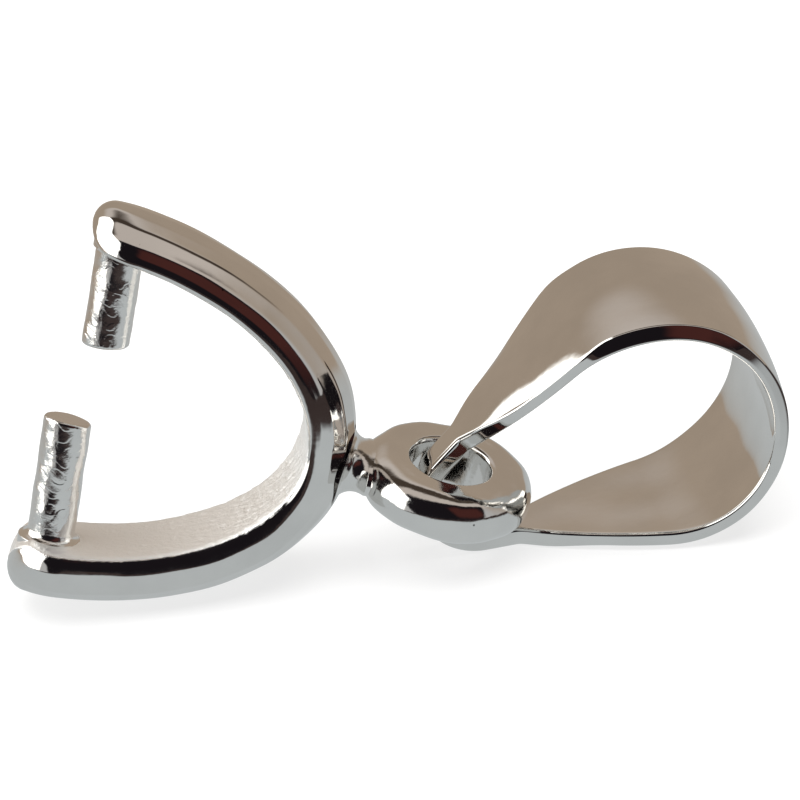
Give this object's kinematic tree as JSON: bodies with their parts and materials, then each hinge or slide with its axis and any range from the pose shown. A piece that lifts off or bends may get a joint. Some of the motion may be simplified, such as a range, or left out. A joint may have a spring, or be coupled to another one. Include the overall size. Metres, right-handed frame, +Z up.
{
  "type": "pinch bail finding",
  "caption": "Pinch bail: a U-shaped claw with two inward pegs that grips a drilled stone, a neck and flat round eye, and a tapered teardrop strap loop that hangs on a chain.",
  "frame": {"origin": "on the surface that it lies on, straight below the line on which the loop swings, on the flat underside of the loop's lower side", "axes": "+Z up; +X from the eye towards the round end of the loop; Y along the line on which the loop swings"},
  "size_m": [0.015, 0.0045, 0.0078],
  "materials": {
    "claw_silver": "polished",
    "loop_silver": "polished"
  },
  "bodies": {
    "clip": {"pinch_clip": "claw_silver"},
    "loop": {"bail_loop": "loop_silver"}
  },
  "joints": [
    {"name": "loop_swing", "type": "hinge", "parent": "clip", "child": "loop", "pos_m": [0, 0, 0.0011], "axis": [0, 1, 0], "range_deg": [-36, 115]}
  ]
}
